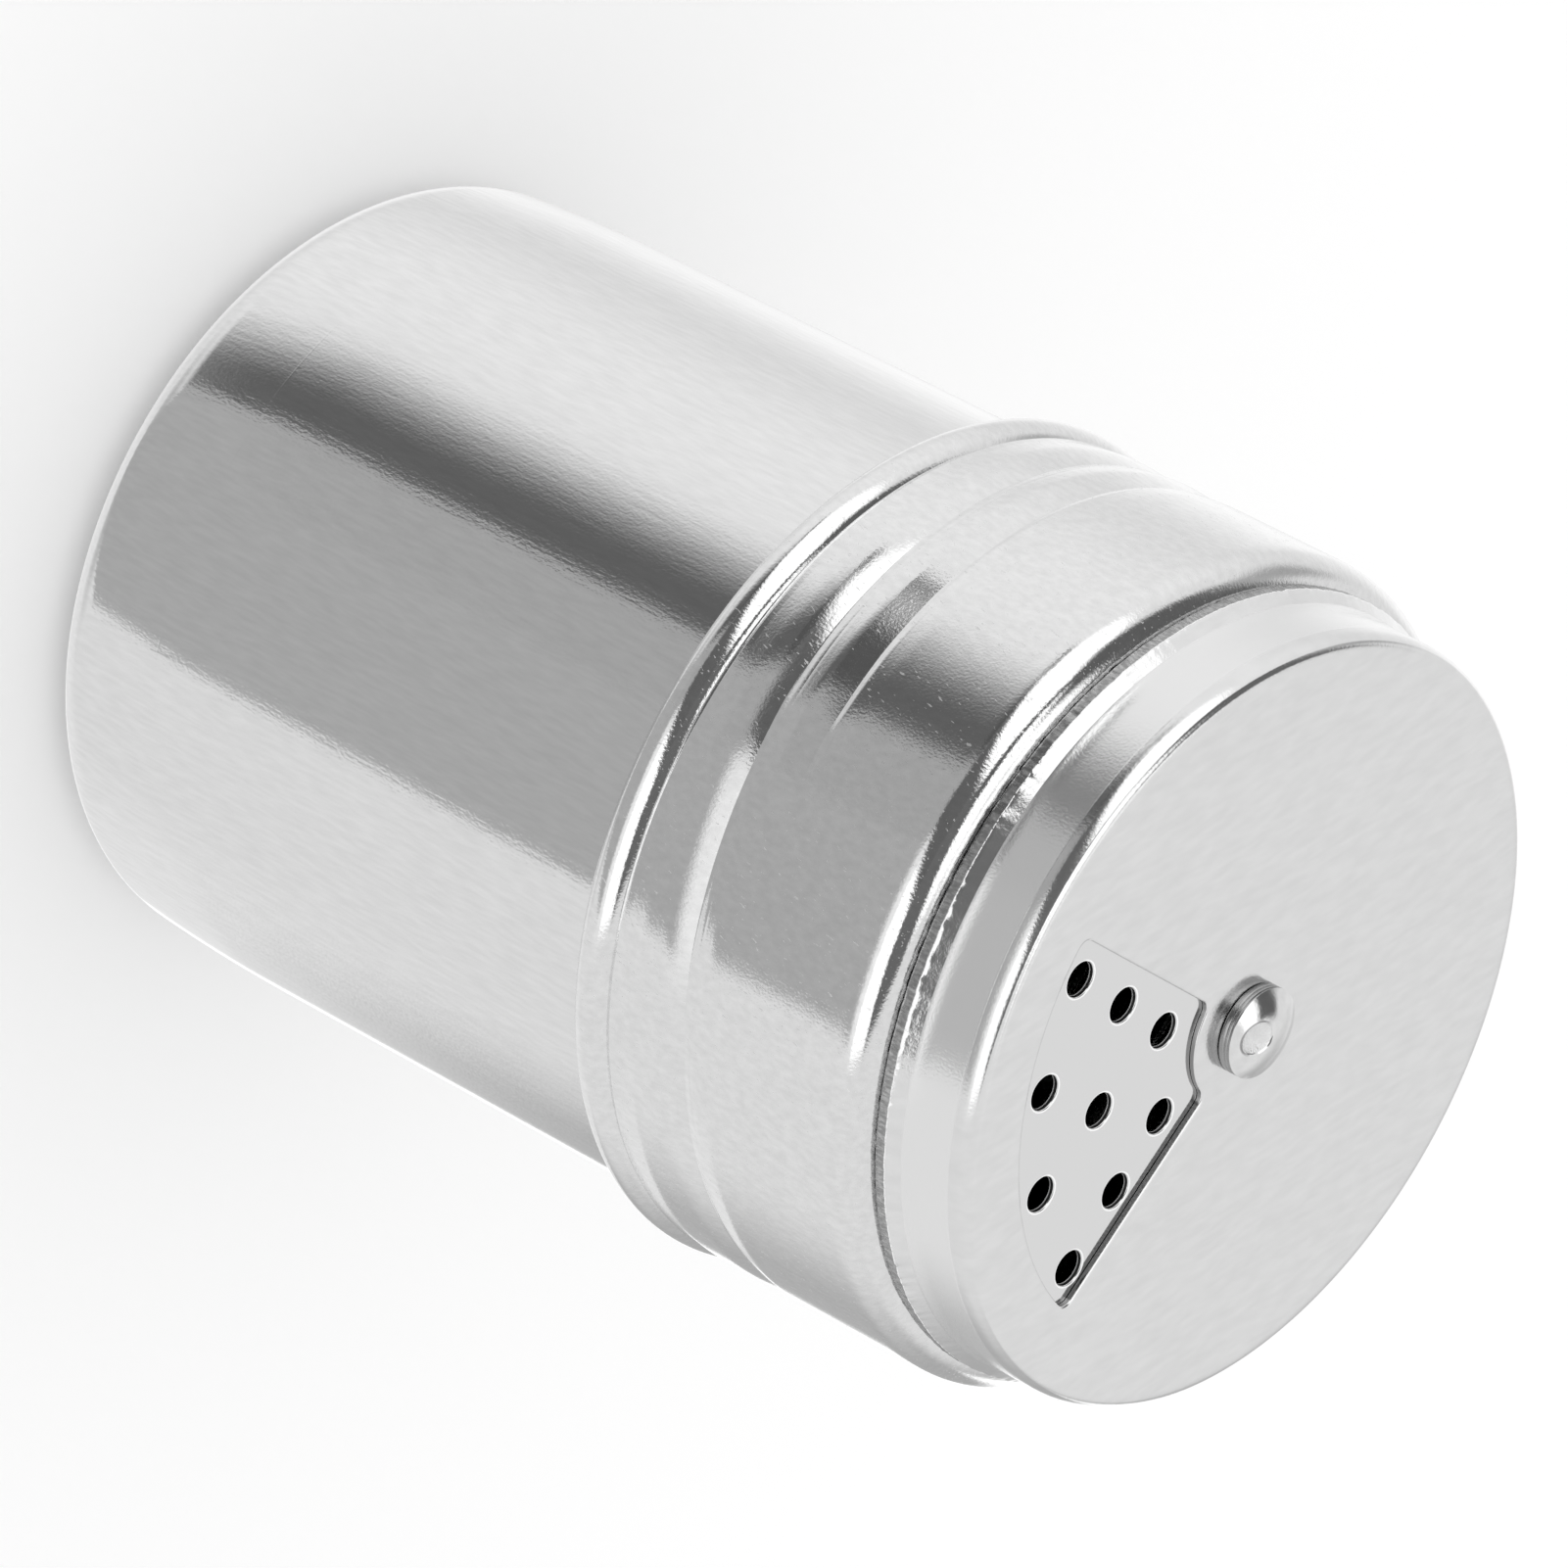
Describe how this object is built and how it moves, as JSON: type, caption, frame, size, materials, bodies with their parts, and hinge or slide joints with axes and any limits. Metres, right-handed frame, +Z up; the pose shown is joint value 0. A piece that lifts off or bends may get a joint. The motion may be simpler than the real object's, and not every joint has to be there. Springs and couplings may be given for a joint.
{
  "type": "spice shaker",
  "caption": "Round steel spice shaker: a drawn jar, a screw cap with a sieve deck, and a riveted turning cover whose sector window opens the holes.",
  "frame": {"origin": "middle of the jar's base, on the surface it stands on", "axes": "+Z up along the jar, towards the dial; -Y towards the middle of the coarse holes"},
  "size_m": [0.0666, 0.0666, 0.095],
  "materials": {
    "jar_steel": "bright drawn stainless sheet, polished along the jar",
    "cap_steel": "bright drawn stainless sheet",
    "dial_steel": "stainless sheet with fine straight grain on its face",
    "rivet_steel": "bright headed stainless",
    "washer_steel": "plain stainless"
  },
  "bodies": {
    "jar": {"jar": "jar_steel"},
    "rivet_set": {"rivet": "rivet_steel", "rivet_washer": "washer_steel"},
    "cap": {"screw_cap": "cap_steel"},
    "dial": {"dial": "dial_steel"}
  },
  "joints": [
    {"name": "cap_lift", "type": "slide", "parent": "jar", "child": "rivet_set", "axis": [0, 0, 1], "range_m": [0, 0.0202]},
    {"name": "cap_turn", "type": "hinge", "parent": "rivet_set", "child": "cap", "pos_m": [0, 0, 0.0925], "axis": [0, 0, 1], "range_deg": [0, 1540]},
    {"name": "dial_turn", "type": "hinge", "parent": "cap", "child": "dial", "pos_m": [0, 0, 0.093], "axis": [0, 0, 1], "continuous": true}
  ],
  "couplings": [
    {"joint": "cap_lift", "follows": "cap_turn", "m_per_rad": 0.00074803}
  ]
}
